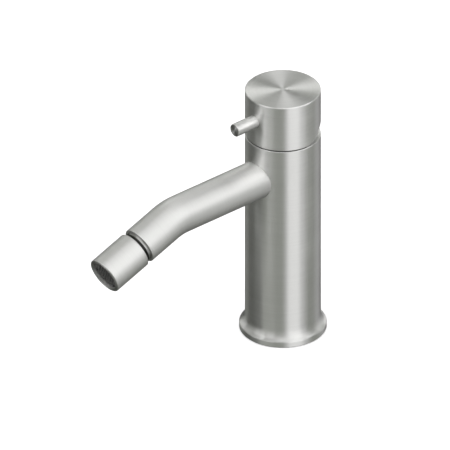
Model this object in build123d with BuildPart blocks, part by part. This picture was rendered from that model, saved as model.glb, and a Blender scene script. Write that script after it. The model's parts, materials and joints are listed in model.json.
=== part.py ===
from build123d import *
from math import cos, radians, sin, sqrt, tan
import os

# Bidet mixer with a lift-and-turn cap handle and a swivelling outlet, in millimetres.
# +Z is up, the spout points along -Y, and the origin is on the body's axis under the foot.

os.makedirs("parts", exist_ok=True)

# Fits, and how far a cut runs past the face that it opens
overrun = 1.0
screw_clearance = 0.05
running_clearance = 0.05
seal_clearance = 0.03
slip_clearance = 0.1
free_clearance = 0.3

# Body shell and foot
overall_height = 145.0
body_diameter = 40.0
shell_wall = 1.5
shell_top_edge = 0.25
foot_flare_width = 3.0
foot_flare_height = 5.4
foot_rim_height = 3.4
foot_edge = 0.35
foot_recess = 20.0
lip_height = 6.1

# Foot gasket and the snap ring under the core
gasket_width = 2.4
gasket_depth = 1.5
snap_ring_thickness = 1.2
snap_ring_seat_depth = 0.7
snap_ring_width = 2.6
snap_ring_gap = 4.0
snap_ring_lug = 4.2
snap_ring_lug_hole = 1.6

# Spout
spout_diameter = 20.6
spout_wall = 1.5
spout_drop = 21.2
bend_reach = 77.25
bend_angle = 20.0
bend_radius = 30.0
nose_length = 24.55
nose_edge = 0.25
nose_insert_length = 12.0
nose_insert_reach = 1.3

# Ball joint
swivel_gap = 3.3
swivel_tilt = 10.0
ball_set_back = 6.4
ball_diameter = 14.0
stem_thread_diameter = 10.0
stem_thread_length = 11.0
stem_shoulder_inset = 0.3
stem_neck_diameter = 8.5
stem_bore = 5.0
stem_ring_section = 1.5
stem_ring_inset = 3.2
ball_ring_section = 1.5
ball_ring_offset = 1.8

# Swivel barrel and what is stacked in its mouth
ball_seat_length = 3.0
ball_seat_hole = 9.2
retainer_length = 2.6
retainer_hole = 9.6
retainer_slot_width = 2.0
retainer_slot_depth = 1.2
washer_thickness = 1.2
washer_hole = 9.6
aerator_length = 5.65
aerator_wall = 1.4
aerator_ledge_width = 1.8
aerator_ledge_height = 1.2
aerator_key_width = 2.2
aerator_key_depth = 1.3
aerator_key_count = 6
grid_inset = 0.4
grid_cell = 1.5
grid_pitch = 1.85
grid_rings = 3
aerator_recess = 1.2
barrel_back_edge = 0.5
barrel_front_edge = 0.3

# Waterway core
inlet_spacing = 14.0
inlet_forward = 3.0
inlet_thread_diameter = 9.0
inlet_thread_depth = 12.0
inlet_bore = 4.8
stud_back = 9.5
stud_thread_diameter = 6.8
stud_thread_depth = 14.0
outlet_back = 4.2
outlet_bore = 5.4
outlet_drop = 11.0
gallery_depth = 1.2
gallery_margin = 2.2
core_ring_section = 1.0
core_ring_land = 1.7

# Cartridge base, seals and ceramic discs
cartridge_diameter = 25.0
base_thickness = 4.0
peg_diameter = 2.5
peg_length = 2.0
peg_inset = 2.0
peg_angle = 30.0
port_seal_width = 1.1
port_seal_height = 1.0
disc_port_spacing = 8.8
disc_port_forward = 2.0
disc_port_bore = 3.8
fixed_disc_thickness = 3.2
disc_film = 0.02
moving_disc_diameter = 14.8
moving_disc_thickness = 3.0
disc_rest_offset = 1.0
chamber_diameter = 12.6
chamber_depth = 1.6
chamber_overlap = 1.0
carrier_plate_thickness = 1.8
carrier_boss_width = 8.0
carrier_boss_length = 9.0

# Cartridge housing and rotor
housing_wall = 1.9
housing_height = 20.0
housing_roof = 2.1
housing_neck_height = 5.5
housing_neck_wall = 1.8
collar_width = 0.9
collar_height = 2.0
rotor_plate_thickness = 3.0
rotor_neck_diameter = 14.6
rotor_neck_height = 10.65
rotor_ring_section = 1.5
rotor_ring_rise = 3.2

# Lever stem and its hinge
handle_lift = 18.0
pivot_rise = 4.0
stem_arm = 11.2
stem_square = 5.0
stem_square_below_pin = 1.8
stem_waist_diameter = 3.8
stem_ball_diameter = 5.0
stem_engagement = 12.0
hinge_pin_diameter = 2.5
hinge_pin_inset = 0.3

# Retaining nut and cover ring
nut_thread_diameter = 27.0
nut_thread_length = 4.0
nut_head_height = 3.5
nut_head_flats = 23.0
nut_head_room = 0.9
cover_thickness = 1.9
cover_edge = 0.4

# Handle cap, lever pin and grub screw
handle_height = 26.2
handle_gap = 0.7
handle_wall = 4.3
handle_cavity_height = 5.7
relief_angle = 37.0
relief_knee = 5.0
relief_crest = 11.2
handle_top_edge = 0.4
handle_bottom_edge = 0.2
socket_spare_depth = 1.0
pin_height = 14.1
pin_diameter = 7.1
pin_projection = 13.85
pin_seat_depth = 1.5
pin_tail_diameter = 5.0
pin_tail_gap = 0.95
pin_tip_edge = 0.3
grub_length = 6.0
grub_socket_flats = 2.5
grub_socket_depth = 2.6

# Body levels and radii
body_radius = body_diameter / 2
bore_radius = body_radius - shell_wall
foot_radius = body_radius + foot_flare_width
core_radius = bore_radius - slip_clearance
flare_top = foot_rim_height + foot_flare_height
handle_bottom = overall_height - handle_height
shell_top = handle_bottom - handle_gap
core_top = shell_top - lip_height
lip_radius = nut_head_flats / sqrt(3) + nut_head_room

# Spout line: along -Y to the bend, then down along the nose
spout_radius = spout_diameter / 2
spout_bore_radius = spout_radius - spout_wall
spout_level = shell_top - spout_drop
nose_direction = Vector(0, -cos(radians(bend_angle)), -sin(radians(bend_angle)))
bend_vertex = Vector(0, -bend_reach, spout_level)
spout_end = bend_vertex + nose_direction * nose_length
ball_centre = spout_end + nose_direction * (swivel_gap + ball_set_back)

# The swivel's axis, and a plane through it: local X runs along the nose from the ball's centre
swivel_axis = Axis(ball_centre, nose_direction)
swivel_plane = Plane(origin=ball_centre, x_dir=nose_direction, z_dir=(1, 0, 0))

# Cartridge levels
seat_level = core_top - nut_thread_length - housing_height - base_thickness
base_top = seat_level + base_thickness
roof_level = base_top + housing_height
collar_level = roof_level - collar_height
pivot_level = roof_level + pivot_rise
ball_level = pivot_level - stem_arm
roof_bottom = roof_level - housing_roof
flange_top = roof_bottom - running_clearance
guide_top = flange_top - rotor_plate_thickness
neck_top = flange_top + rotor_neck_height


with BuildPart() as body_shell:
    with BuildSketch(Plane.XZ):
        with BuildLine():
            Polyline(
                (body_radius, flare_top),
                (body_radius, shell_top),
                (lip_radius, shell_top),
                (lip_radius, core_top),
                (bore_radius, core_top),
                (bore_radius, 0),
                (foot_radius, 0),
                (foot_radius, foot_rim_height),
            )
            TangentArc((body_radius, flare_top), (foot_radius, foot_rim_height), tangent=(0, -1))
        make_face()
    revolve(axis=Axis.Z)
    circles = body_shell.edges().filter_by(GeomType.CIRCLE)
    chamfer(circles.group_by(SortBy.RADIUS)[-1], foot_edge)
    circles = body_shell.edges().filter_by(GeomType.CIRCLE)
    chamfer(circles.group_by(Axis.Z)[-1].sort_by(SortBy.RADIUS)[-1], shell_top_edge)
    with BuildSketch(Plane.XZ):
        with Locations((bore_radius, foot_recess)):
            Rectangle(
                2 * snap_ring_seat_depth,
                snap_ring_thickness + slip_clearance,
                align=(Align.CENTER, Align.MAX),
            )
        with Locations(((bore_radius + foot_radius) / 2, 0)):
            Rectangle(gasket_width + 2 * seal_clearance, 2 * gasket_depth)
    revolve(axis=Axis.Z, mode=Mode.SUBTRACT)
    with BuildSketch(Plane.XZ):
        with Locations((0, spout_level)):
            Circle(spout_radius + seal_clearance)
    extrude(amount=body_radius + overrun, mode=Mode.SUBTRACT)

body_shell.part.label = "body_shell"
export_step(body_shell.part, "parts/body_shell.step")


with BuildPart() as foot_gasket:
    with BuildSketch():
        Circle((bore_radius + foot_radius + gasket_width) / 2)
        Circle((bore_radius + foot_radius - gasket_width) / 2, mode=Mode.SUBTRACT)
    extrude(amount=gasket_depth)

foot_gasket.part.label = "foot_gasket"
export_step(foot_gasket.part, "parts/foot_gasket.step")


with BuildPart() as core_snap_ring:
    ring_radius = bore_radius + snap_ring_seat_depth - slip_clearance
    lug_radius = ring_radius - snap_ring_width
    lug_offset = (snap_ring_gap + snap_ring_lug) / 2
    with BuildSketch(Plane.XY.offset(foot_recess)):
        Circle(ring_radius)
        Circle(ring_radius - snap_ring_width, mode=Mode.SUBTRACT)
        with Locations((0, ring_radius)):
            Rectangle(snap_ring_gap, 2 * (snap_ring_width + overrun), mode=Mode.SUBTRACT)
        with Locations(*[(side * lug_offset, lug_radius - snap_ring_lug / 2) for side in (-1, 1)]):
            Circle(snap_ring_lug / 2)
            Rectangle(snap_ring_lug, snap_ring_lug / 2, align=(Align.CENTER, Align.MIN))
            Circle(snap_ring_lug_hole / 2, mode=Mode.SUBTRACT)
    extrude(amount=-snap_ring_thickness)

core_snap_ring.part.label = "core_snap_ring"
export_step(core_snap_ring.part, "parts/core_snap_ring.step")


# Welded into the shell's side and coped flush with its bore
with BuildPart() as spout_tube:
    with BuildLine(Plane.YZ) as spout_path:
        FilletPolyline(
            (0, spout_level),
            (bend_vertex.Y, bend_vertex.Z),
            (spout_end.Y, spout_end.Z),
            radius=bend_radius,
        )
    with BuildSketch(Plane.XZ):
        with Locations((0, spout_level)):
            Circle(spout_radius)
            Circle(spout_bore_radius, mode=Mode.SUBTRACT)
    sweep(path=spout_path.wires()[0])
    with BuildSketch(Plane.XY.offset(spout_level)):
        Circle(bore_radius)
    extrude(amount=spout_radius + overrun, both=True, mode=Mode.SUBTRACT)
    end_circles = spout_tube.edges().filter_by(GeomType.CIRCLE).group_by(swivel_axis)[-1]
    chamfer(end_circles.sort_by(SortBy.RADIUS)[-1], nose_edge)

spout_tube.part.label = "spout_tube"
export_step(spout_tube.part, "parts/spout_tube.step")


# Stations along the nose from the ball's centre, forward being positive
barrel_back = -ball_set_back
nose_face = barrel_back - swivel_gap
insert_front = nose_face + nose_insert_reach
stem_back = nose_face - stem_thread_length
stem_shoulder = insert_front - stem_shoulder_inset
stem_ring_station = nose_face - stem_ring_inset
insert_back = nose_face - nose_insert_length

# Radii about the nose; the barrel's bore is what the ball's O-ring needs round the ball
ball_radius = ball_diameter / 2
ball_socket_radius = ball_radius + running_clearance
ball_ring_reach = ball_radius + ball_ring_section / 2 + seal_clearance
ball_ring_radius = sqrt(ball_ring_reach**2 - ball_ring_offset**2)
barrel_bore_radius = ball_ring_radius + ball_ring_section / 2 + seal_clearance
stem_thread_radius = stem_thread_diameter / 2
stem_neck_radius = stem_neck_diameter / 2
insert_bore_radius = stem_thread_radius + screw_clearance
stem_ring_radius = insert_bore_radius - seal_clearance - stem_ring_section / 2
tilt = radians(swivel_tilt)
barrel_opening_radius = stem_neck_radius / cos(tilt) + ball_set_back * tan(tilt) + free_clearance

# The stack in front of the ball
seat_back = ball_ring_offset + ball_ring_section / 2 + seal_clearance
retainer_back = seat_back + ball_seat_length
washer_back = retainer_back + retainer_length
aerator_back = washer_back + washer_thickness
aerator_front = aerator_back + aerator_length
barrel_front = aerator_front + aerator_recess
ring_bore_back = ball_ring_offset - ball_ring_section / 2 - seal_clearance

aerator_radius = barrel_bore_radius - screw_clearance
insert_seat_radius = aerator_radius - aerator_wall


with BuildPart() as nose_insert:
    with BuildSketch(swivel_plane):
        with BuildLine():
            Polyline(
                (insert_back, insert_bore_radius),
                (insert_back, spout_bore_radius - seal_clearance),
                (insert_front, spout_bore_radius - seal_clearance),
                (insert_front, insert_bore_radius),
                close=True,
            )
        make_face()
    revolve(axis=swivel_axis)

nose_insert.part.label = "nose_insert"
export_step(nose_insert.part, "parts/nose_insert.step")


with BuildPart() as ball_stem:
    with BuildSketch(swivel_plane):
        with BuildLine():
            Polyline(
                (sqrt(ball_radius**2 - (stem_bore / 2) ** 2), stem_bore / 2),
                (stem_back, stem_bore / 2),
                (stem_back, stem_thread_radius),
                (stem_shoulder, stem_thread_radius),
                (stem_shoulder, stem_neck_radius),
                (-sqrt(ball_radius**2 - stem_neck_radius**2), stem_neck_radius),
            )
            ThreePointArc(
                (-sqrt(ball_radius**2 - stem_neck_radius**2), stem_neck_radius),
                (0, ball_radius),
                (sqrt(ball_radius**2 - (stem_bore / 2) ** 2), stem_bore / 2),
            )
        make_face()
        with Locations((stem_ring_station, stem_thread_radius)):
            Rectangle(
                stem_ring_section + 2 * seal_clearance,
                2 * (stem_thread_radius - stem_ring_radius + stem_ring_section / 2 + seal_clearance),
                mode=Mode.SUBTRACT,
            )
    revolve(axis=swivel_axis)

ball_stem.part.label = "ball_stem"
export_step(ball_stem.part, "parts/ball_stem.step")


with BuildPart() as stem_o_ring:
    with BuildSketch(swivel_plane):
        with Locations((stem_ring_station, stem_ring_radius)):
            Circle(stem_ring_section / 2)
    revolve(axis=swivel_axis)

stem_o_ring.part.label = "stem_o_ring"
export_step(stem_o_ring.part, "parts/stem_o_ring.step")


with BuildPart() as swivel_barrel:
    with BuildSketch(swivel_plane):
        with BuildLine():
            Polyline(
                (barrel_back, barrel_opening_radius),
                (barrel_back, spout_radius),
                (barrel_front, spout_radius),
                (barrel_front, barrel_bore_radius),
                (ring_bore_back, barrel_bore_radius),
                (ring_bore_back, ball_socket_radius),
                (0, ball_socket_radius),
                (0, barrel_opening_radius),
                close=True,
            )
        make_face()
    revolve(axis=swivel_axis)
    with Locations(ball_centre):
        Sphere(ball_socket_radius, mode=Mode.SUBTRACT)
    rims = swivel_barrel.edges().filter_by(GeomType.CIRCLE).group_by(SortBy.RADIUS)[-1].sort_by(swivel_axis)
    fillet(rims[0], barrel_back_edge)
    chamfer(rims[-1], barrel_front_edge)

swivel_barrel.part.label = "swivel_barrel"
export_step(swivel_barrel.part, "parts/swivel_barrel.step")


with BuildPart() as ball_o_ring:
    with BuildSketch(swivel_plane):
        with Locations((ball_ring_offset, ball_ring_radius)):
            Circle(ball_ring_section / 2)
    revolve(axis=swivel_axis)

ball_o_ring.part.label = "ball_o_ring"
export_step(ball_o_ring.part, "parts/ball_o_ring.step")


with BuildPart() as ball_seat:
    with BuildSketch(swivel_plane):
        with BuildLine():
            Polyline(
                (seat_back, ball_seat_hole / 2),
                (seat_back, barrel_bore_radius - slip_clearance),
                (retainer_back, barrel_bore_radius - slip_clearance),
                (retainer_back, ball_seat_hole / 2),
                close=True,
            )
        make_face()
    revolve(axis=swivel_axis)
    with Locations(ball_centre):
        Sphere(ball_socket_radius, mode=Mode.SUBTRACT)

ball_seat.part.label = "ball_seat"
export_step(ball_seat.part, "parts/ball_seat.step")


# Threaded ring with two spanner slots in its front face
with BuildPart() as seat_retainer:
    with BuildSketch(swivel_plane):
        with BuildLine():
            Polyline(
                (retainer_back, retainer_hole / 2),
                (retainer_back, barrel_bore_radius - screw_clearance),
                (washer_back, barrel_bore_radius - screw_clearance),
                (washer_back, retainer_hole / 2),
                close=True,
            )
        make_face()
    revolve(axis=swivel_axis)
    slot_centre = ball_centre + nose_direction * washer_back
    with BuildSketch(Plane(origin=slot_centre, x_dir=(1, 0, 0), z_dir=nose_direction)):
        Rectangle(2 * (barrel_bore_radius + overrun), retainer_slot_width)
    extrude(amount=-retainer_slot_depth, mode=Mode.SUBTRACT)

seat_retainer.part.label = "seat_retainer"
export_step(seat_retainer.part, "parts/seat_retainer.step")


with BuildPart() as aerator_washer:
    with BuildSketch(swivel_plane):
        with BuildLine():
            Polyline(
                (washer_back, washer_hole / 2),
                (washer_back, barrel_bore_radius - free_clearance),
                (aerator_back, barrel_bore_radius - free_clearance),
                (aerator_back, washer_hole / 2),
                close=True,
            )
        make_face()
    revolve(axis=swivel_axis)

aerator_washer.part.label = "aerator_washer"
export_step(aerator_washer.part, "parts/aerator_washer.step")


# Threaded cup with key notches in its front rim
with BuildPart() as aerator_housing:
    with BuildSketch(swivel_plane):
        with BuildLine():
            Polyline(
                (aerator_back, insert_seat_radius - aerator_ledge_width),
                (aerator_back, aerator_radius),
                (aerator_front, aerator_radius),
                (aerator_front, insert_seat_radius),
                (aerator_back + aerator_ledge_height, insert_seat_radius),
                (aerator_back + aerator_ledge_height, insert_seat_radius - aerator_ledge_width),
                close=True,
            )
        make_face()
    revolve(axis=swivel_axis)
    key_centre = ball_centre + nose_direction * aerator_front
    with BuildSketch(Plane(origin=key_centre, x_dir=(1, 0, 0), z_dir=nose_direction)):
        with PolarLocations(aerator_radius, aerator_key_count):
            Rectangle(2 * (aerator_wall + seal_clearance), aerator_key_width)
    extrude(amount=-aerator_key_depth, mode=Mode.SUBTRACT)

aerator_housing.part.label = "aerator_housing"
export_step(aerator_housing.part, "parts/aerator_housing.step")


# Disc with a honeycomb of cells, in rings round the middle one
with BuildPart() as aerator_insert:
    grid_front = aerator_front - grid_inset
    steps = range(-grid_rings, grid_rings + 1)
    cells = [
        (grid_pitch * (along + across / 2), grid_pitch * across * sqrt(3) / 2)
        for along in steps
        for across in steps
        if abs(along + across) <= grid_rings
    ]
    insert_centre = ball_centre + nose_direction * grid_front
    with BuildSketch(Plane(origin=insert_centre, x_dir=(1, 0, 0), z_dir=nose_direction)):
        Circle(insert_seat_radius - seal_clearance)
        with Locations(cells):
            RegularPolygon(grid_cell / 2, 6, major_radius=False, rotation=30, mode=Mode.SUBTRACT)
    extrude(amount=aerator_back + aerator_ledge_height - grid_front)

aerator_insert.part.label = "aerator_insert"
export_step(aerator_insert.part, "parts/aerator_insert.step")


# Ports: two inlets in front of the axis, and the outlet behind it
cartridge_radius = cartridge_diameter / 2
inlet_places = [(side * inlet_spacing / 2, -inlet_forward) for side in (-1, 1)]
disc_inlet_places = [(side * disc_port_spacing / 2, -disc_port_forward) for side in (-1, 1)]
peg_radius = cartridge_radius - peg_inset
peg_places = [
    (side * peg_radius * cos(radians(peg_angle)), peg_radius * sin(radians(peg_angle))) for side in (-1, 1)
]
thread_radius = nut_thread_diameter / 2
outlet_level = seat_level - outlet_drop
gallery_bottom = outlet_level - outlet_bore / 2 - gallery_margin
gallery_top = spout_level + spout_bore_radius
core_ring_levels = (gallery_bottom - core_ring_land, spout_level + spout_radius + core_ring_land)
core_ring_radius = bore_radius - seal_clearance - core_ring_section / 2


with BuildPart() as waterway_core:
    with BuildSketch(Plane.XY.offset(foot_recess)):
        Circle(core_radius)
    extrude(amount=core_top - foot_recess)
    with BuildSketch(Plane.XY.offset(seat_level)):
        Circle(cartridge_radius + slip_clearance)
    extrude(amount=collar_level - seat_level, mode=Mode.SUBTRACT)
    with BuildSketch(Plane.XY.offset(collar_level)):
        Circle(thread_radius + screw_clearance)
    extrude(amount=core_top + overrun - collar_level, mode=Mode.SUBTRACT)
    with BuildSketch(Plane.XY.offset(seat_level)):
        with Locations(peg_places):
            Circle(peg_diameter / 2 + slip_clearance)
    extrude(amount=-(peg_length + free_clearance), mode=Mode.SUBTRACT)
    with BuildSketch(Plane.XY.offset(foot_recess)):
        with Locations(inlet_places):
            Circle(inlet_thread_diameter / 2)
    extrude(amount=inlet_thread_depth, mode=Mode.SUBTRACT)
    with BuildSketch(Plane.XY.offset(foot_recess)):
        with Locations(inlet_places):
            Circle(inlet_bore / 2)
    extrude(amount=seat_level + overrun - foot_recess, mode=Mode.SUBTRACT)
    with BuildSketch(Plane.XY.offset(foot_recess)):
        with Locations((0, stud_back)):
            Circle(stud_thread_diameter / 2)
    extrude(amount=stud_thread_depth, mode=Mode.SUBTRACT)
    with BuildSketch(Plane.XY.offset(outlet_level - outlet_bore / 2)):
        with Locations((0, outlet_back)):
            Circle(outlet_bore / 2)
    extrude(amount=seat_level + overrun - outlet_level, mode=Mode.SUBTRACT)
    with BuildSketch(Plane.XZ.offset(-outlet_back)):
        with Locations((0, outlet_level)):
            Circle(outlet_bore / 2)
    extrude(amount=outlet_back + core_radius + overrun, mode=Mode.SUBTRACT)
    with BuildSketch(Plane.XZ):
        with Locations((core_radius, (gallery_bottom + gallery_top) / 2)):
            Rectangle(2 * gallery_depth, gallery_top - gallery_bottom)
        with Locations(*[(core_radius, level) for level in core_ring_levels]):
            Rectangle(
                2 * (core_radius - core_ring_radius + core_ring_section / 2 + seal_clearance),
                core_ring_section + 2 * seal_clearance,
            )
    revolve(axis=Axis.Z, mode=Mode.SUBTRACT)

waterway_core.part.label = "waterway_core"
export_step(waterway_core.part, "parts/waterway_core.step")


with BuildPart() as core_o_rings:
    with BuildSketch(Plane.XZ):
        with Locations(*[(core_ring_radius, level) for level in core_ring_levels]):
            Circle(core_ring_section / 2)
    revolve(axis=Axis.Z)

core_o_rings.part.label = "core_o_rings"
export_step(core_o_rings.part, "parts/core_o_rings.step")


def port_outlines(grow, mode=Mode.ADD):
    """Draw the base's three ports on the current sketch, each made larger all round by grow."""
    for (outer_x, outer_y), (inner_x, inner_y) in zip(inlet_places, disc_inlet_places):
        SlotCenterPoint(
            ((outer_x + inner_x) / 2, (outer_y + inner_y) / 2),
            (outer_x, outer_y),
            inlet_bore + 2 * grow,
            mode=mode,
        )
    with Locations((0, outlet_back)):
        Circle(outlet_bore / 2 + grow, mode=mode)


with BuildPart() as cartridge_base:
    with BuildSketch(Plane.XY.offset(seat_level)):
        Circle(cartridge_radius)
        port_outlines(0, mode=Mode.SUBTRACT)
    extrude(amount=base_thickness)
    with BuildSketch(Plane.XY.offset(seat_level)):
        port_outlines(port_seal_width + seal_clearance)
    extrude(amount=port_seal_height, mode=Mode.SUBTRACT)
    with BuildSketch(Plane.XY.offset(base_top)):
        port_outlines(port_seal_width + seal_clearance)
    extrude(amount=-port_seal_height, mode=Mode.SUBTRACT)
    with BuildSketch(Plane.XY.offset(seat_level)):
        with Locations(peg_places):
            Circle(peg_diameter / 2)
    extrude(amount=-peg_length)

cartridge_base.part.label = "cartridge_base"
export_step(cartridge_base.part, "parts/cartridge_base.step")


with BuildPart() as base_seals:
    with BuildSketch(Plane.XY.offset(seat_level)):
        port_outlines(port_seal_width)
        port_outlines(0, mode=Mode.SUBTRACT)
    extrude(amount=port_seal_height)

base_seals.part.label = "base_seals"
export_step(base_seals.part, "parts/base_seals.step")


with BuildPart() as disc_seals:
    with BuildSketch(Plane.XY.offset(base_top)):
        port_outlines(port_seal_width)
        port_outlines(0, mode=Mode.SUBTRACT)
    extrude(amount=-port_seal_height)

disc_seals.part.label = "disc_seals"
export_step(disc_seals.part, "parts/disc_seals.step")


cartridge_bore_radius = cartridge_radius - housing_wall
fixed_disc_top = base_top + fixed_disc_thickness
moving_disc_bottom = fixed_disc_top + disc_film
carrier_bottom = moving_disc_bottom + moving_disc_thickness
boss_bottom = carrier_bottom + carrier_plate_thickness

with BuildPart() as fixed_disc:
    with BuildSketch(Plane.XY.offset(base_top)):
        Circle(cartridge_bore_radius - slip_clearance)
        with Locations(disc_inlet_places):
            Circle(disc_port_bore / 2, mode=Mode.SUBTRACT)
        with Locations((0, outlet_back)):
            Circle(outlet_bore / 2, mode=Mode.SUBTRACT)
    extrude(amount=fixed_disc_thickness)

fixed_disc.part.label = "fixed_disc"
export_step(fixed_disc.part, "parts/fixed_disc.step")


# Its chamber lies over the outlet alone while the handle is down, and over all three when it is up
with BuildPart() as moving_disc:
    with BuildSketch(Plane.XY.offset(moving_disc_bottom)):
        with Locations((0, disc_rest_offset)):
            Circle(moving_disc_diameter / 2)
    extrude(amount=moving_disc_thickness)
    with BuildSketch(Plane.XY.offset(moving_disc_bottom)):
        with Locations((0, disc_rest_offset)):
            Circle(chamber_diameter / 2)
        with Locations((0, chamber_overlap + disc_port_bore / 2 - disc_port_forward)):
            Rectangle(
                chamber_diameter + overrun,
                chamber_diameter + overrun,
                align=(Align.CENTER, Align.MAX),
                mode=Mode.SUBTRACT,
            )
    extrude(amount=chamber_depth, mode=Mode.SUBTRACT)

moving_disc.part.label = "moving_disc"
export_step(moving_disc.part, "parts/moving_disc.step")


stem_ball_radius = stem_ball_diameter / 2
boss_top = guide_top - free_clearance
socket_bottom = ball_level - stem_ball_radius - free_clearance

with BuildPart() as disc_carrier:
    with BuildSketch(Plane.XY.offset(carrier_bottom)):
        with Locations((0, disc_rest_offset)):
            Circle(moving_disc_diameter / 2)
    extrude(amount=carrier_plate_thickness)
    with BuildSketch(Plane.XY.offset(boss_bottom)):
        Rectangle(carrier_boss_width, carrier_boss_length)
    extrude(amount=boss_top - boss_bottom)
    with BuildSketch(Plane.XY.offset(boss_top)):
        Circle(stem_ball_radius + running_clearance)
    extrude(amount=socket_bottom - boss_top, mode=Mode.SUBTRACT)

disc_carrier.part.label = "disc_carrier"
export_step(disc_carrier.part, "parts/disc_carrier.step")


neck_radius = rotor_neck_diameter / 2
housing_neck_bore = neck_radius + free_clearance
housing_neck_radius = housing_neck_bore + housing_neck_wall

with BuildPart() as cartridge_housing:
    with BuildSketch(Plane.XZ):
        with BuildLine():
            Polyline(
                (cartridge_bore_radius, base_top),
                (cartridge_radius, base_top),
                (cartridge_radius, collar_level),
                (cartridge_radius + collar_width, collar_level),
                (cartridge_radius + collar_width, roof_level),
                (housing_neck_radius, roof_level),
                (housing_neck_radius, roof_level + housing_neck_height),
                (housing_neck_bore, roof_level + housing_neck_height),
                (housing_neck_bore, roof_bottom),
                (cartridge_bore_radius, roof_bottom),
                close=True,
            )
        make_face()
    revolve(axis=Axis.Z)

cartridge_housing.part.label = "cartridge_housing"
export_step(cartridge_housing.part, "parts/cartridge_housing.step")


rotor_bottom = boss_bottom + free_clearance
rotor_ring_level = flange_top + rotor_ring_rise
rotor_ring_radius = housing_neck_bore - seal_clearance - rotor_ring_section / 2
waist_radius = stem_waist_diameter / 2
lift = radians(handle_lift)


def swing_room(half_width, level):
    """Half the length of slot that the tilted stem needs at a level."""
    return half_width / cos(lift) + abs(level - pivot_level) * tan(lift) + free_clearance


with BuildPart() as rotor:
    with BuildSketch(Plane.XY.offset(rotor_bottom)):
        Circle(cartridge_bore_radius - free_clearance)
    extrude(amount=flange_top - rotor_bottom)
    with BuildSketch(Plane.XY.offset(flange_top)):
        Circle(neck_radius)
    extrude(amount=rotor_neck_height)
    with BuildSketch(Plane.XY.offset(rotor_bottom)):
        Rectangle(carrier_boss_width + 2 * running_clearance, 2 * cartridge_radius)
    extrude(amount=guide_top - rotor_bottom, mode=Mode.SUBTRACT)
    with BuildSketch(Plane.XY.offset(guide_top)):
        Rectangle(stem_square + 2 * slip_clearance, 2 * swing_room(stem_ball_radius, guide_top))
    extrude(amount=flange_top - guide_top, mode=Mode.SUBTRACT)
    with BuildSketch(Plane.XY.offset(flange_top)):
        neck_slot = max(swing_room(waist_radius, flange_top), swing_room(stem_square / 2, neck_top))
        Rectangle(stem_square + 2 * slip_clearance, 2 * neck_slot)
    extrude(amount=rotor_neck_height + overrun, mode=Mode.SUBTRACT)
    with BuildSketch(Plane.YZ):
        with Locations((0, pivot_level)):
            Circle(hinge_pin_diameter / 2 + running_clearance)
    extrude(amount=neck_radius + overrun, both=True, mode=Mode.SUBTRACT)
    with BuildSketch(Plane.XZ):
        with Locations((neck_radius, rotor_ring_level)):
            Rectangle(
                2 * (neck_radius - rotor_ring_radius + rotor_ring_section / 2 + seal_clearance),
                rotor_ring_section + 2 * seal_clearance,
            )
    revolve(axis=Axis.Z, mode=Mode.SUBTRACT)

rotor.part.label = "rotor"
export_step(rotor.part, "parts/rotor.step")


with BuildPart() as rotor_o_ring:
    with BuildSketch(Plane.XZ):
        with Locations((rotor_ring_radius, rotor_ring_level)):
            Circle(rotor_ring_section / 2)
    revolve(axis=Axis.Z)

rotor_o_ring.part.label = "rotor_o_ring"
export_step(rotor_o_ring.part, "parts/rotor_o_ring.step")


with BuildPart() as hinge_pin:
    with BuildSketch(Plane.YZ):
        with Locations((0, pivot_level)):
            Circle(hinge_pin_diameter / 2)
    extrude(amount=neck_radius - hinge_pin_inset, both=True)

hinge_pin.part.label = "hinge_pin"
export_step(hinge_pin.part, "parts/hinge_pin.step")


cavity_top = handle_bottom + handle_cavity_height
stem_top = cavity_top + stem_engagement
square_bottom = pivot_level - stem_square_below_pin

with BuildPart() as lever_stem:
    with BuildSketch(Plane.XY.offset(square_bottom)):
        Rectangle(stem_square, stem_square)
    extrude(amount=stem_top - square_bottom)
    with BuildSketch(Plane.XY.offset(ball_level)):
        Circle(waist_radius)
    extrude(amount=square_bottom - ball_level)
    with Locations((0, 0, ball_level)):
        Sphere(stem_ball_radius)
    with BuildSketch(Plane.YZ):
        with Locations((0, pivot_level)):
            Circle(hinge_pin_diameter / 2 + running_clearance)
    extrude(amount=stem_square, both=True, mode=Mode.SUBTRACT)

lever_stem.part.label = "lever_stem"
export_step(lever_stem.part, "parts/lever_stem.step")


nut_head_bottom = core_top + slip_clearance
nut_top = nut_head_bottom + nut_head_height

with BuildPart() as retaining_nut:
    with BuildSketch(Plane.XY.offset(roof_level)):
        Circle(thread_radius)
    extrude(amount=nut_head_bottom - roof_level)
    with BuildSketch(Plane.XY.offset(nut_head_bottom)):
        RegularPolygon(nut_head_flats / 2, 6, major_radius=False)
    extrude(amount=nut_head_height)
    with BuildSketch(Plane.XY.offset(roof_level)):
        Circle(housing_neck_radius + slip_clearance)
    extrude(amount=nut_top + overrun - roof_level, mode=Mode.SUBTRACT)

retaining_nut.part.label = "retaining_nut"
export_step(retaining_nut.part, "parts/retaining_nut.step")


with BuildPart() as cover_ring:
    with BuildSketch(Plane.XY.offset(nut_top)):
        Circle(lip_radius - free_clearance)
        Circle(neck_radius + free_clearance, mode=Mode.SUBTRACT)
    extrude(amount=cover_thickness)
    chamfer(cover_ring.edges().group_by(Axis.Z)[-1], cover_edge)

cover_ring.part.label = "cover_ring"
export_step(cover_ring.part, "parts/cover_ring.step")


pin_level = handle_bottom + pin_height
pin_seat = body_radius - pin_seat_depth
socket_half = stem_square / 2 + screw_clearance
pin_tail_end = socket_half + grub_length + pin_tail_gap
relief_reach = body_radius + overrun
relief_knee_level = handle_bottom + relief_knee * tan(lift)
relief_crest_level = relief_knee_level + (relief_crest - relief_knee) * tan(radians(relief_angle))

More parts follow.
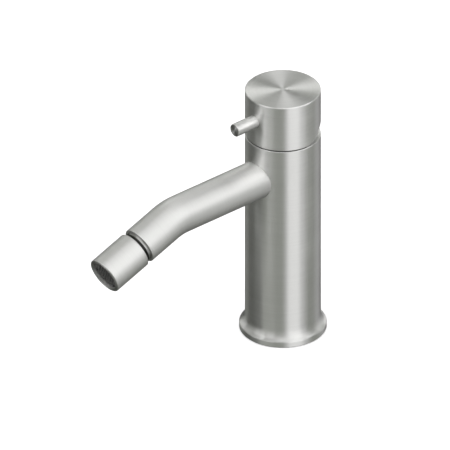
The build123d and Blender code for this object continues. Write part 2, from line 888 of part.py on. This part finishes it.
# Turned from bar; its rear underside is cut away, steepest in the middle, so that it can tip back
with BuildPart() as handle_cap:
    with BuildSketch(Plane.XY.offset(handle_bottom)):
        Circle(body_radius)
    extrude(amount=handle_height)
    chamfer(handle_cap.edges().group_by(Axis.Z)[-1], handle_top_edge)
    chamfer(handle_cap.edges().group_by(Axis.Z)[0], handle_bottom_edge)
    with BuildSketch(Plane.XY.offset(handle_bottom)):
        Circle(body_radius - handle_wall)
    extrude(amount=handle_cavity_height, mode=Mode.SUBTRACT)
    with BuildSketch(Plane.XY.offset(cavity_top)):
        Rectangle(2 * socket_half, 2 * socket_half)
    extrude(amount=stem_engagement + socket_spare_depth, mode=Mode.SUBTRACT)
    with BuildSketch(Plane.XZ.offset(pin_seat)):
        with Locations((0, pin_level)):
            Circle(pin_diameter / 2 + screw_clearance)
    extrude(amount=pin_seat_depth + overrun, mode=Mode.SUBTRACT)
    with BuildSketch(Plane.XZ):
        with Locations((0, pin_level)):
            Circle(pin_tail_diameter / 2 + screw_clearance)
    extrude(amount=body_radius + overrun, mode=Mode.SUBTRACT)
    with BuildSketch(Plane.YZ):
        with BuildLine():
            Polyline(
                (0, handle_bottom),
                (relief_reach, handle_bottom),
                (relief_reach, relief_crest_level + (relief_reach - relief_crest) * tan(lift)),
                (relief_crest, relief_crest_level),
                (relief_knee, relief_knee_level),
                close=True,
            )
        make_face()
    extrude(amount=relief_reach, both=True, mode=Mode.SUBTRACT)

handle_cap.part.label = "handle_cap"
export_step(handle_cap.part, "parts/handle_cap.step")


with BuildPart() as lever_pin:
    with BuildSketch(Plane.XZ.offset(pin_seat)):
        with Locations((0, pin_level)):
            Circle(pin_diameter / 2)
    extrude(amount=pin_projection + pin_seat_depth)
    chamfer(lever_pin.edges().group_by(Axis.Y)[0], pin_tip_edge)
    with BuildSketch(Plane.XZ.offset(pin_seat)):
        with Locations((0, pin_level)):
            Circle(pin_tail_diameter / 2)
    extrude(amount=pin_tail_end - pin_seat)

lever_pin.part.label = "lever_pin"
export_step(lever_pin.part, "parts/lever_pin.step")


# Bears on the stem's flat, behind the lever pin's tail
with BuildPart() as grub_screw:
    with BuildSketch(Plane.XZ.offset(socket_half)):
        with Locations((0, pin_level)):
            Circle(pin_tail_diameter / 2)
    extrude(amount=grub_length)
    with BuildSketch(Plane.XZ.offset(socket_half + grub_length)):
        with Locations((0, pin_level)):
            RegularPolygon(grub_socket_flats / 2, 6, major_radius=False)
    extrude(amount=-grub_socket_depth, mode=Mode.SUBTRACT)

grub_screw.part.label = "grub_screw"
export_step(grub_screw.part, "parts/grub_screw.step")
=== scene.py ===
import json
import math

import bpy
from mathutils import Matrix, Vector

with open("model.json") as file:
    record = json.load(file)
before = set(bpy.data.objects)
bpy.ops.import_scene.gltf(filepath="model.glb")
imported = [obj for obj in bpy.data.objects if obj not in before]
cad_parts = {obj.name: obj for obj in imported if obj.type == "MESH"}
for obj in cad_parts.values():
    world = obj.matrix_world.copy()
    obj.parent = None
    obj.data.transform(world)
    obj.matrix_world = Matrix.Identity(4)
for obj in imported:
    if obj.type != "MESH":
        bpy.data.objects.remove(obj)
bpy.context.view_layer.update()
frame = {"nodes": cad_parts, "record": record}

# The photograph's view: degrees off the spout and above the horizon, and the picture's middle and height in metres
VIEW_AZIMUTH = math.radians(48.8)
VIEW_ELEVATION = math.radians(31.0)
VIEW_RIGHT_SHIFT = -0.03042
VIEW_UP_SHIFT = 0.05283
VIEW_HEIGHT = 0.23641
CAMERA_DISTANCE = 1.6

# Axes and centres that the finishes follow, in metres
BEND_ANGLE = math.radians(20.0)
NOSE = Vector((0.0, -math.cos(BEND_ANGLE), -math.sin(BEND_ANGLE)))
UP = Vector((0.0, 0.0, 1.0))
FORWARD = Vector((0.0, -1.0, 0.0))
ORIGIN = Vector((0.0, 0.0, 0.0))
BEND_VERTEX = Vector((0.0, -0.07725, 0.0969))
BEND_START = -0.07196
BEND_END = -0.08222
BALL_CENTRE = Vector((0.0, -0.109434, 0.085186))
PIN_CENTRE = Vector((0.0, 0.0, 0.1329))

# Colours, as linear values
STEEL = (0.60, 0.60, 0.592)
# The cap and pin are the body's steel painted a little lighter: a painted highlight for their brighter reflections
CAP_STEEL_PAINTED_LIGHTER = (0.62, 0.62, 0.612)
PIN_STEEL_PAINTED_LIGHTER = (0.61, 0.61, 0.602)
INSERT_STEEL = (0.40, 0.40, 0.39)
BRASS = (0.62, 0.50, 0.27)
# How much of the metal's glare is left at a grazing angle
SOFT_EDGE = (0.4, 0.4, 0.4, 1.0)
DARK_EDGE = (0.1, 0.1, 0.1, 1.0)
# Tints of the bright and dim studio cards, and the level that parts them
BRIGHT_TINT = (1.0, 1.0, 0.995, 1.0)
DIM_TINT = (0.965, 1.0, 0.91, 1.0)
BRIGHT_ABOVE = 0.6

# Brushing: pitches and depth, and the reach of the painted shade in narrow gaps, in metres, then shares by which
# the colour varies
FINE_PITCH = 0.00009
BROAD_PITCH = 0.0011
GROOVE_DEPTH = 0.000008
PAINTED_SHADE_REACH = 0.0012
BROAD_STREAKS = 0.022
FINE_STREAKS = 0.025
SCRATCHES = 0.03
# Noise lies mostly between these two values
NOISE_LOW = 0.3
NOISE_HIGH = 0.7


class Nodes:
    """A node tree filled one node at a time; sockets and plain values mix freely as inputs."""

    def __init__(self, tree):
        self.tree = tree
        tree.nodes.clear()

    def put(self, socket, value):
        if isinstance(value, bpy.types.NodeSocket):
            self.tree.links.new(value, socket)
        elif isinstance(value, Vector):
            socket.default_value = tuple(value)
        else:
            socket.default_value = value

    def add(self, kind, inputs=None, **settings):
        made = self.tree.nodes.new(kind)
        for key, value in settings.items():
            setattr(made, key, value)
        for key, value in (inputs or {}).items():
            self.put(made.inputs[key], value)
        return made

    def math(self, operation, first, second=0.0):
        return self.add("ShaderNodeMath", {0: first, 1: second}, operation=operation).outputs[0]

    def vector(self, operation, first, second=None, scale=None):
        inputs = {0: first}
        if second is not None:
            inputs[1] = second
        if scale is not None:
            inputs["Scale"] = scale
        made = self.add("ShaderNodeVectorMath", inputs, operation=operation)
        return made.outputs["Value" if operation in ("DOT_PRODUCT", "LENGTH") else "Vector"]

    def span(self, value, low, high, to_low, to_high, smooth=False):
        made = self.add(
            "ShaderNodeMapRange",
            {"Value": value, "From Min": low, "From Max": high, "To Min": to_low, "To Max": to_high},
            interpolation_type="SMOOTHSTEP" if smooth else "LINEAR",
        )
        return made.outputs["Result"]

    def swing(self, noise, low, high):
        """Spreads noise out to run from low to high."""
        return self.span(noise, NOISE_LOW, NOISE_HIGH, low, high)

    def parts(self, vector):
        return self.add("ShaderNodeSeparateXYZ", {0: vector}).outputs

    def noise(self, vector, scale, detail=2.0, roughness=0.5):
        inputs = {"Vector": vector, "Scale": scale, "Detail": detail, "Roughness": roughness}
        return self.add("ShaderNodeTexNoise", inputs).outputs["Fac"]

    def place(self):
        return self.add("ShaderNodeTexCoord").outputs["Object"]

    def tone(self, colour, factor):
        """The colour times a grey factor."""
        rgb = self.add("ShaderNodeCombineXYZ", {0: factor, 1: factor, 2: factor}).outputs[0]
        return self.vector("MULTIPLY", rgb, Vector(colour))

    def bump(self, height, distance, strength=1.0, normal=None):
        inputs = {"Height": height, "Distance": distance, "Strength": strength}
        if normal is not None:
            inputs["Normal"] = normal
        return self.add("ShaderNodeBump", inputs).outputs["Normal"]

    def rounded(self, radius):
        return self.add("ShaderNodeBevel", {"Radius": radius}, samples=4).outputs["Normal"]

    def light_path_share(self):
        """1 for camera, glossy and transmission rays, otherwise 0."""
        path = self.add("ShaderNodeLightPath").outputs
        both = self.math("MAXIMUM", path["Is Camera Ray"], path["Is Glossy Ray"])
        return self.math("MAXIMUM", both, path["Is Transmission Ray"])


class Shader(Nodes):
    """A material and its nodes."""

    def __init__(self, name):
        self.material = bpy.data.materials.new(name)
        self.material.use_nodes = True
        super().__init__(self.material.node_tree)
        self.surface = self.add("ShaderNodeOutputMaterial").inputs["Surface"]

    def finish(self, inputs, constants):
        surface = self.add("ShaderNodeBsdfPrincipled", inputs)
        for key, value in constants.items():
            surface.inputs[key].default_value = value
        self.put(self.surface, surface.outputs["BSDF"])
        return self.material


def painted_root_highlight_gain(s, place, local, strength, far, near, low, high):
    """1, rising by strength on the upper flank near the root: a painted highlight standing in for light that the
    body reflects onto the root.

    It starts at far along Y and is full at near, and it fades in between the upward slopes low and high.
    """
    reach_in = s.span(s.parts(place)["Y"], far, near, 0.0, strength)
    facing = s.parts(local)
    upward = s.span(facing["Z"], low, high, 0.0, 1.0)
    sideways = s.span(facing["X"], -0.1, 0.35, 0.4, 1.0)
    return s.math("ADD", s.math("MULTIPLY", reach_in, s.math("MULTIPLY", upward, sideways)), 1.0)


def turned_steel(
    name,
    axis,
    centre,
    colour=STEEL,
    roughness=0.34,
    anisotropy=0.91,
    follow_bend=False,
    end_anisotropy=None,
    end_painted_shade=1.0,
    edge_tint=SOFT_EDGE,
    root_painted_highlight=None,
    edge_radius=0.00012,
):
    """Metal brushed round an axis: fine grooves round it, turned rings on its end faces."""
    s = Shader(name)
    place = s.place()
    if follow_bend:
        bent = s.span(s.parts(place)["Y"], BEND_START, BEND_END, 0.0, 1.0, smooth=True)
        mixed = s.add("ShaderNodeMix", {"Factor": bent}, data_type="VECTOR")
        s.put(mixed.inputs["A"], FORWARD)
        s.put(mixed.inputs["B"], NOSE)
        vectors = [o for o in mixed.outputs if o.type == "VECTOR"]
        axis_socket = s.vector("NORMALIZE", vectors[0])
        centre = BEND_VERTEX
    else:
        axis_socket = axis
    offset = s.vector("SUBTRACT", place, centre)
    along = s.vector("DOT_PRODUCT", offset, axis_socket)
    on_axis = s.vector("SCALE", axis_socket, scale=along)
    aside = s.vector("SUBTRACT", offset, on_axis)
    reach = s.vector("LENGTH", aside)
    around = s.vector("CROSS_PRODUCT", axis_socket, offset)
    around_world = s.add(
        "ShaderNodeVectorTransform",
        {0: around},
        vector_type="VECTOR",
        convert_from="OBJECT",
        convert_to="WORLD",
    ).outputs[0]
    facing = s.add("ShaderNodeNewGeometry").outputs["Normal"]
    across = s.vector("NORMALIZE", s.vector("CROSS_PRODUCT", around_world, facing))

    depth = s.math("ADD", along, reach)

    def grooves(pitch, wander, detail):
        lines = s.vector("SCALE", axis_socket, scale=s.math("MULTIPLY", depth, 1.0 / pitch))
        drift = s.vector("SCALE", aside, scale=wander)
        return s.noise(s.vector("ADD", lines, drift), 1.0, detail)

    fine = grooves(FINE_PITCH, 60.0, 2.0)
    broad = grooves(BROAD_PITCH, 34.0, 3.0)
    cloud = s.noise(place, 46.0, 3.0)
    painted_gap_shade = s.add("ShaderNodeAmbientOcclusion", {"Distance": PAINTED_SHADE_REACH}, samples=8).outputs["AO"]
    local = s.add("ShaderNodeTexCoord").outputs["Normal"]
    square = s.math("ABSOLUTE", s.vector("DOT_PRODUCT", local, axis_socket))

    shade = s.math(
        "ADD",
        s.swing(broad, 1.0 - BROAD_STREAKS, 1.0 + BROAD_STREAKS),
        s.swing(fine, -FINE_STREAKS, FINE_STREAKS),
    )
    shade = s.math("MULTIPLY", shade, s.swing(cloud, 0.985, 1.015))
    # painted shade: the colour is darkened where ambient occlusion finds a narrow gap or corner
    shade = s.math("MULTIPLY", shade, s.span(painted_gap_shade, 0.2, 0.55, 0.15, 1.0))
    # painted shade: end faces are darkened by the end factor, standing in for their dimmer reflection
    shade = s.math("MULTIPLY", shade, s.span(square, 0.7, 0.95, 1.0, end_painted_shade))
    # painted highlight: the upper flank near the root is made lighter, standing in for light reflected from the
    # body
    if root_painted_highlight:
        shade = s.math("MULTIPLY", shade, painted_root_highlight_gain(s, place, local, *root_painted_highlight))
    rough = s.math("ADD", s.swing(broad, roughness - 0.03, roughness + 0.03), s.swing(cloud, -0.02, 0.02))
    normal = s.bump(fine, GROOVE_DEPTH, 0.6, s.rounded(edge_radius))
    normal = s.bump(broad, GROOVE_DEPTH * 2.0, 0.5, normal)

    varied = {"Base Color": s.tone(colour, shade), "Roughness": rough, "Normal": normal, "Tangent": across}
    fixed = {"Metallic": 1.0, "Specular Tint": edge_tint}
    if end_anisotropy is None:
        fixed["Anisotropic"] = anisotropy
    else:
        varied["Anisotropic"] = s.span(square, 0.7, 0.95, anisotropy, end_anisotropy)
    return s.finish(varied, fixed)


def plain_metal(name, colour, roughness):
    """Polished or machined metal with faint handling marks."""
    s = Shader(name)
    place = s.place()
    marks = s.noise(place, 900.0, 4.0, 0.6)
    cloud = s.noise(place, 120.0, 2.0)
    shade = s.swing(marks, 1.0 - SCRATCHES, 1.0 + SCRATCHES)
    rough = s.swing(cloud, roughness * 0.85, roughness * 1.2)
    normal = s.bump(marks, 0.000008, 0.5, s.rounded(0.0001))
    return s.finish(
        {"Base Color": s.tone(colour, shade), "Roughness": rough, "Normal": normal},
        {"Metallic": 1.0},
    )


def moulded(name, colour, roughness, grain, depth, specular=0.5):
    """Moulded plastic, rubber or ceramic: a fine grain and slightly worn edges."""
    s = Shader(name)
    place = s.place()
    texture = s.noise(place, grain, 3.0, 0.6)
    cloud = s.noise(place, 150.0, 2.0)
    shade = s.swing(cloud, 0.92, 1.08)
    rough = s.swing(texture, roughness - 0.06, roughness + 0.06)
    normal = s.bump(texture, depth, 0.6, s.rounded(0.00012))
    return s.finish(
        {"Base Color": s.tone(colour, shade), "Roughness": rough, "Normal": normal},
        {"Specular IOR Level": specular},
    )


body_steel = turned_steel("steel_turned_body", UP, ORIGIN, edge_radius=0.00006)
cap_steel = turned_steel("steel_turned_cap", UP, ORIGIN, colour=CAP_STEEL_PAINTED_LIGHTER, anisotropy=0.93, edge_radius=0.00008)
pin_steel = turned_steel(
    "steel_turned_pin",
    FORWARD,
    PIN_CENTRE,
    colour=PIN_STEEL_PAINTED_LIGHTER,
    roughness=0.42,
    anisotropy=0.5,
    end_anisotropy=0.98,
    # painted shade on the end face
    end_painted_shade=0.62,
    # painted highlight near the root: strength, where along Y it starts and is full, and the upward slopes it
    # fades in between
    root_painted_highlight=(0.45, -0.032, -0.021, 0.4, 0.7),
)
spout_steel = turned_steel(
    "steel_brushed_spout",
    FORWARD,
    BEND_VERTEX,
    follow_bend=True,
    roughness=0.5,
    anisotropy=0.1,
    edge_tint=DARK_EDGE,
    # painted highlight near the root: strength, where along Y it starts and is full, and the upward slopes it
    # fades in between
    root_painted_highlight=(0.6, -0.042, -0.020, 0.55, 0.85),
)
barrel_steel = turned_steel(
    "steel_turned_barrel",
    NOSE,
    BALL_CENTRE,
    roughness=0.48,
    anisotropy=0.1,
    end_anisotropy=0.9,
    # painted shade on the end faces
    end_painted_shade=0.8,
    edge_tint=DARK_EDGE,
)
end_steel = turned_steel("steel_turned_insert", NOSE, BALL_CENTRE, colour=INSERT_STEEL, roughness=0.28)
brass = turned_steel("brass_turned", UP, ORIGIN, colour=BRASS, roughness=0.32, anisotropy=0.5)
polished = plain_metal("steel_polished", (0.60, 0.60, 0.60), 0.14)
blackened = plain_metal("steel_blackened", (0.18, 0.18, 0.18), 0.38)
rubber = moulded("rubber_black", (0.03, 0.03, 0.03), 0.7, 1400.0, 0.00003, 0.3)
pale_plastic = moulded("plastic_white", (0.72, 0.72, 0.70), 0.45, 1800.0, 0.00001)
dark_plastic = moulded("plastic_black", (0.07, 0.07, 0.067), 0.5, 1800.0, 0.000015)
ceramic = moulded("ceramic_lapped", (0.82, 0.81, 0.77), 0.25, 2400.0, 0.000004)

FINISHES = {
    "body_shell": body_steel,
    "handle_cap": cap_steel,
    "lever_pin": pin_steel,
    "spout_tube": spout_steel,
    "swivel_barrel": barrel_steel,
    "waterway_core": brass,
    "retaining_nut": brass,
    "nose_insert": end_steel,
}
SLOT_FINISHES = {
    "stainless": body_steel,
    "brass": brass,
    "polished_steel": polished,
    "dark_steel": blackened,
    "rubber": rubber,
    "white_plastic": pale_plastic,
    "dark_plastic": dark_plastic,
    "ceramic": ceramic,
}

for entry in frame["record"]["subparts"]:
    piece = frame["nodes"][entry["node"]]
    finish = FINISHES.get(entry["node"]) or SLOT_FINISHES[entry["material_slot"]]
    if not piece.material_slots:
        piece.data.materials.append(finish)
    for held in piece.material_slots:
        held.material = finish


# The camera, square to the photograph's view
right = Vector((math.cos(VIEW_AZIMUTH), math.sin(VIEW_AZIMUTH), 0.0))
toward = Vector((math.sin(VIEW_AZIMUTH), -math.cos(VIEW_AZIMUTH), 0.0))
back = toward * math.cos(VIEW_ELEVATION) + UP * math.sin(VIEW_ELEVATION)
above = back.cross(right)
target = right * VIEW_RIGHT_SHIFT + above * VIEW_UP_SHIFT
camera_data = bpy.data.cameras.new("photo_camera")
camera_data.type = "ORTHO"
camera_data.ortho_scale = VIEW_HEIGHT
camera_data.clip_end = 20.0
camera = bpy.data.objects.new("photo_camera", camera_data)
turn = Matrix((right, above, back)).transposed()
camera.matrix_world = Matrix.Translation(target + back * CAMERA_DISTANCE) @ turn.to_4x4()
bpy.context.scene.collection.objects.link(camera)
bpy.context.scene.camera = camera
bpy.context.scene.view_settings.view_transform = "Standard"


# The floor: white, and it keeps a soft shadow
def floor_material():
    s = Shader("studio_floor")
    grain = s.noise(s.place(), 30.0, 3.0)
    colour = s.tone((0.86, 0.86, 0.86), s.swing(grain, 0.995, 1.005))
    paper = s.add("ShaderNodeBsdfDiffuse", {"Color": colour}).outputs[0]
    lift = s.math("MULTIPLY", s.light_path_share(), 0.47)
    glow = s.add("ShaderNodeEmission", {"Strength": lift}).outputs[0]
    s.put(s.surface, s.add("ShaderNodeAddShader", {0: paper, 1: glow}).outputs[0])
    return s.material


bpy.ops.mesh.primitive_plane_add(size=8.0, location=(0.0, 0.0, -0.0002))
floor = bpy.context.object
floor.name = "studio_floor"
floor.data.materials.append(floor_material())
floor.visible_glossy = False


def glow_material(name, level):
    s = Shader(name)
    tint = BRIGHT_TINT if level > BRIGHT_ABOVE else DIM_TINT
    s.put(s.surface, s.add("ShaderNodeEmission", {"Color": tint, "Strength": level}).outputs[0])
    return s.material


def card(name, corners, faces, level):
    """A studio card that only reflections see."""
    mesh = bpy.data.meshes.new(name)
    mesh.from_pydata(corners, [], faces)
    made = bpy.data.objects.new(name, mesh)
    bpy.context.scene.collection.objects.link(made)
    mesh.materials.append(glow_material(name, level))
    made.visible_camera = False
    made.visible_diffuse = False
    made.visible_shadow = False


# Upright cards: start and end in degrees from the camera's side towards the picture's right,
# then radius, bottom, top and level. The near ones reach only the low parts of the object.
FAR = 1.2
LOW = -1.3
TOP = 1.15
CARD_STEP = 6
CARDS = (
    (-150, -128, FAR, LOW, 0.02, 0.42),
    (-128, -84, FAR, LOW, 0.02, 0.12),
    (-84, -64, FAR, LOW, 0.02, 0.12),
    (-64, -26, FAR, LOW, 0.02, 0.43),
    (-148, -118, FAR, 0.02, 0.35, 1.30),
    (-118, -84, FAR, 0.02, 0.35, 0.48),
    (-136, -112, FAR, 0.35, 0.85, 0.66),
    (-112, -84, FAR, 0.35, 0.85, 0.75),
    (-84, -26, FAR, 0.02, 0.35, 1.00),
    (-84, -62, FAR, 0.35, 0.85, 1.50),
    (-62, -36, FAR, 0.35, 0.85, 2.50),
    (-36, -26, FAR, 0.35, 0.85, 1.50),
    (-136, -84, FAR, 0.85, TOP, 0.45),
    (-66, -42, 0.3, 0.17, 0.34, 2.80),
    (-60, -28, 0.1, 0.015, 0.045, 0.43),
    (51, 63.5, 0.1, 0.015, 0.07, 0.74),
    (63.5, 86, 0.1, 0.015, 0.07, 0.36),
    (-84, -61, 0.2, 0.02, 0.06, 0.45),
    (70, 90, 0.2, 0.01, 0.05, 0.22),
    (-84, -26, FAR, 0.85, TOP, 0.80),
    (-26, 0, FAR, LOW, 0.80, 0.42),
    (0, 5, FAR, LOW, 0.80, 0.50),
    (5, 10, FAR, LOW, 0.80, 0.70),
    (10, 15, FAR, LOW, 0.80, 0.96),
    (15, 48, FAR, LOW, 0.15, 1.33),
    (15, 48, FAR, 0.15, 0.80, 1.62),
    (48, 54, FAR, LOW, 0.80, 1.15),
    (34, 54, FAR, 0.80, TOP, 1.60),
    (54, 70, FAR, LOW, 0.10, 0.74),
    (70, 112, FAR, LOW, 0.02, 0.36),
    (112, 150, FAR, LOW, 0.02, 0.64),
    (54, 90, FAR, 0.26, TOP, 2.15),
    (90, 106, FAR, 0.95, TOP, 1.40),
    (90, 106, FAR, 0.26, 0.95, 0.65),
    (106, 122, FAR, 0.26, 0.70, 1.10),
    (122, 140, FAR, 0.26, 0.70, 0.60),
    (106, 140, FAR, 0.70, TOP, 0.60),
    (70, 100, FAR, 0.02, 0.26, 0.55),
    (100, 118, FAR, 0.02, 0.26, 0.95),
    (118, 150, FAR, 0.02, 0.26, 1.30),
    (150, 210, FAR, LOW, 0.00, 0.03),
    (144, 216, FAR, 0.00, 0.05, 0.20),
    (150, 172, FAR, 0.05, 0.38, 3.20),
    (140, 150, FAR, 0.26, 0.58, 1.80),
    (150, 172, FAR, 0.38, 0.58, 1.50),
    (140, 166, FAR, 0.72, 0.86, 0.85),
    (140, 166, FAR, 0.58, 0.72, 0.60),
    (166, 172, FAR, 0.58, 0.86, 0.60),
    (172, 212, FAR, 0.05, 0.30, 0.16),
    (188, 214, FAR, 0.30, 0.66, 0.60),
    (214, 224, FAR, 0.35, 1.12, 0.50),
    (188, 204, FAR, 0.66, 1.12, 3.45),
    (204, 214, FAR, 0.66, 1.12, 0.60),
    (172, 188, FAR, 0.30, 0.86, 0.50),
    (140, 166, FAR, 0.86, TOP, 1.00),
    (166, 172, FAR, 0.86, TOP, 0.30),
    (172, 180, FAR, 0.88, TOP, 0.05),
    (180, 188, FAR, 0.86, TOP, 0.30),
)
for index, (start, end, radius, bottom, top, level) in enumerate(CARDS):
    steps = max(2, round((end - start) / CARD_STEP))
    rim = []
    for k in range(steps + 1):
        angle = math.radians(start + (end - start) * k / steps)
        spot = (toward * math.cos(angle) + right * math.sin(angle)) * radius
        rim.append((spot.x, spot.y, bottom))
        rim.append((spot.x, spot.y, top))
    faces = [(2 * k, 2 * k + 2, 2 * k + 3, 2 * k + 1) for k in range(steps)]
    card(f"studio_card_{index}", rim, faces, level)


# Flat cards: name, middle towards the camera and to the right, height, length, width, level.
# Those a little under the top hide part of a larger one.
FLAT_CARDS = (
    ("studio_low_card", 0.0, 0.0, LOW, 2.6, 2.6, 0.28),
    ("studio_top_left", -0.6, -0.635, TOP, 1.2, 1.15, 0.38),
    ("studio_top_right", -0.72, 0.43, TOP, 0.56, 0.34, 0.02),
    ("studio_top_right_back", -1.1, 0.43, TOP, 0.2, 0.34, 0.40),
    ("studio_top_right_front", -0.22, 0.43, TOP, 0.44, 0.34, 0.30),
    ("studio_top_strip", -0.25, -0.09, TOP - 0.01, 0.5, 0.08, 0.9),
    ("studio_top_notch", -1.075, 0.19, TOP - 0.01, 0.25, 0.14, 0.40),
    ("studio_top_side_front", -0.24, 0.76, TOP - 0.01, 0.48, 0.3, 2.2),
    ("studio_top_side", -0.6, 0.92, TOP, 1.2, 0.64, 1.0),
    ("studio_top_corner", -1.03, -0.36, TOP - 0.02, 0.3, 0.5, 1.3),
    ("studio_top_middle", -0.6, 0.1, TOP, 1.2, 0.32, 1.60),
    ("studio_front_left", 0.6, -0.7, TOP, 1.2, 1.0, 1.0),
    ("studio_front_spot", 0.5, 0.6, TOP - 0.01, 0.5, 0.6, 2.0),
    ("studio_front_right", 0.6, 0.5, TOP, 1.2, 1.4, 1.35),
)
for name, forth, aside, height, length, width, level in FLAT_CARDS:
    centre = toward * forth + right * aside + UP * height
    a = toward * (length / 2)
    b = right * (width / 2)
    corners = [tuple(centre + i * a + j * b) for i, j in ((-1, -1), (1, -1), (1, 1), (-1, 1))]
    card(name, corners, [(0, 1, 2, 3)], level)


# Soft lamps and an even world
def lamp(name, direction, distance, width, power):
    data = bpy.data.lights.new(name, "AREA")
    data.shape = "SQUARE"
    data.size = width
    data.energy = power
    made = bpy.data.objects.new(name, data)
    spot = direction.normalized() * distance + Vector((0.0, -0.04, 0.07))
    made.location = spot
    made.rotation_euler = (-direction).to_track_quat("-Z", "Y").to_euler()
    made.visible_glossy = False
    bpy.context.scene.collection.objects.link(made)


lamp("lamp_key", -right * 0.5 + toward * 0.6 + UP * 1.4, 1.6, 0.9, 6.0)
lamp("lamp_fill", right * 0.9 + toward * 0.5 + UP * 0.9, 1.7, 1.0, 3.0)

world = bpy.data.worlds.new("studio_world")
bpy.context.scene.world = world
world.use_nodes = True
sky = Nodes(world.node_tree)
strength = sky.span(sky.light_path_share(), 0.0, 1.0, 0.72, 1.0)
ground = sky.add("ShaderNodeBackground", {"Color": (1.0, 1.0, 1.0, 1.0), "Strength": strength}).outputs[0]
sky.put(sky.add("ShaderNodeOutputWorld").inputs["Surface"], ground)
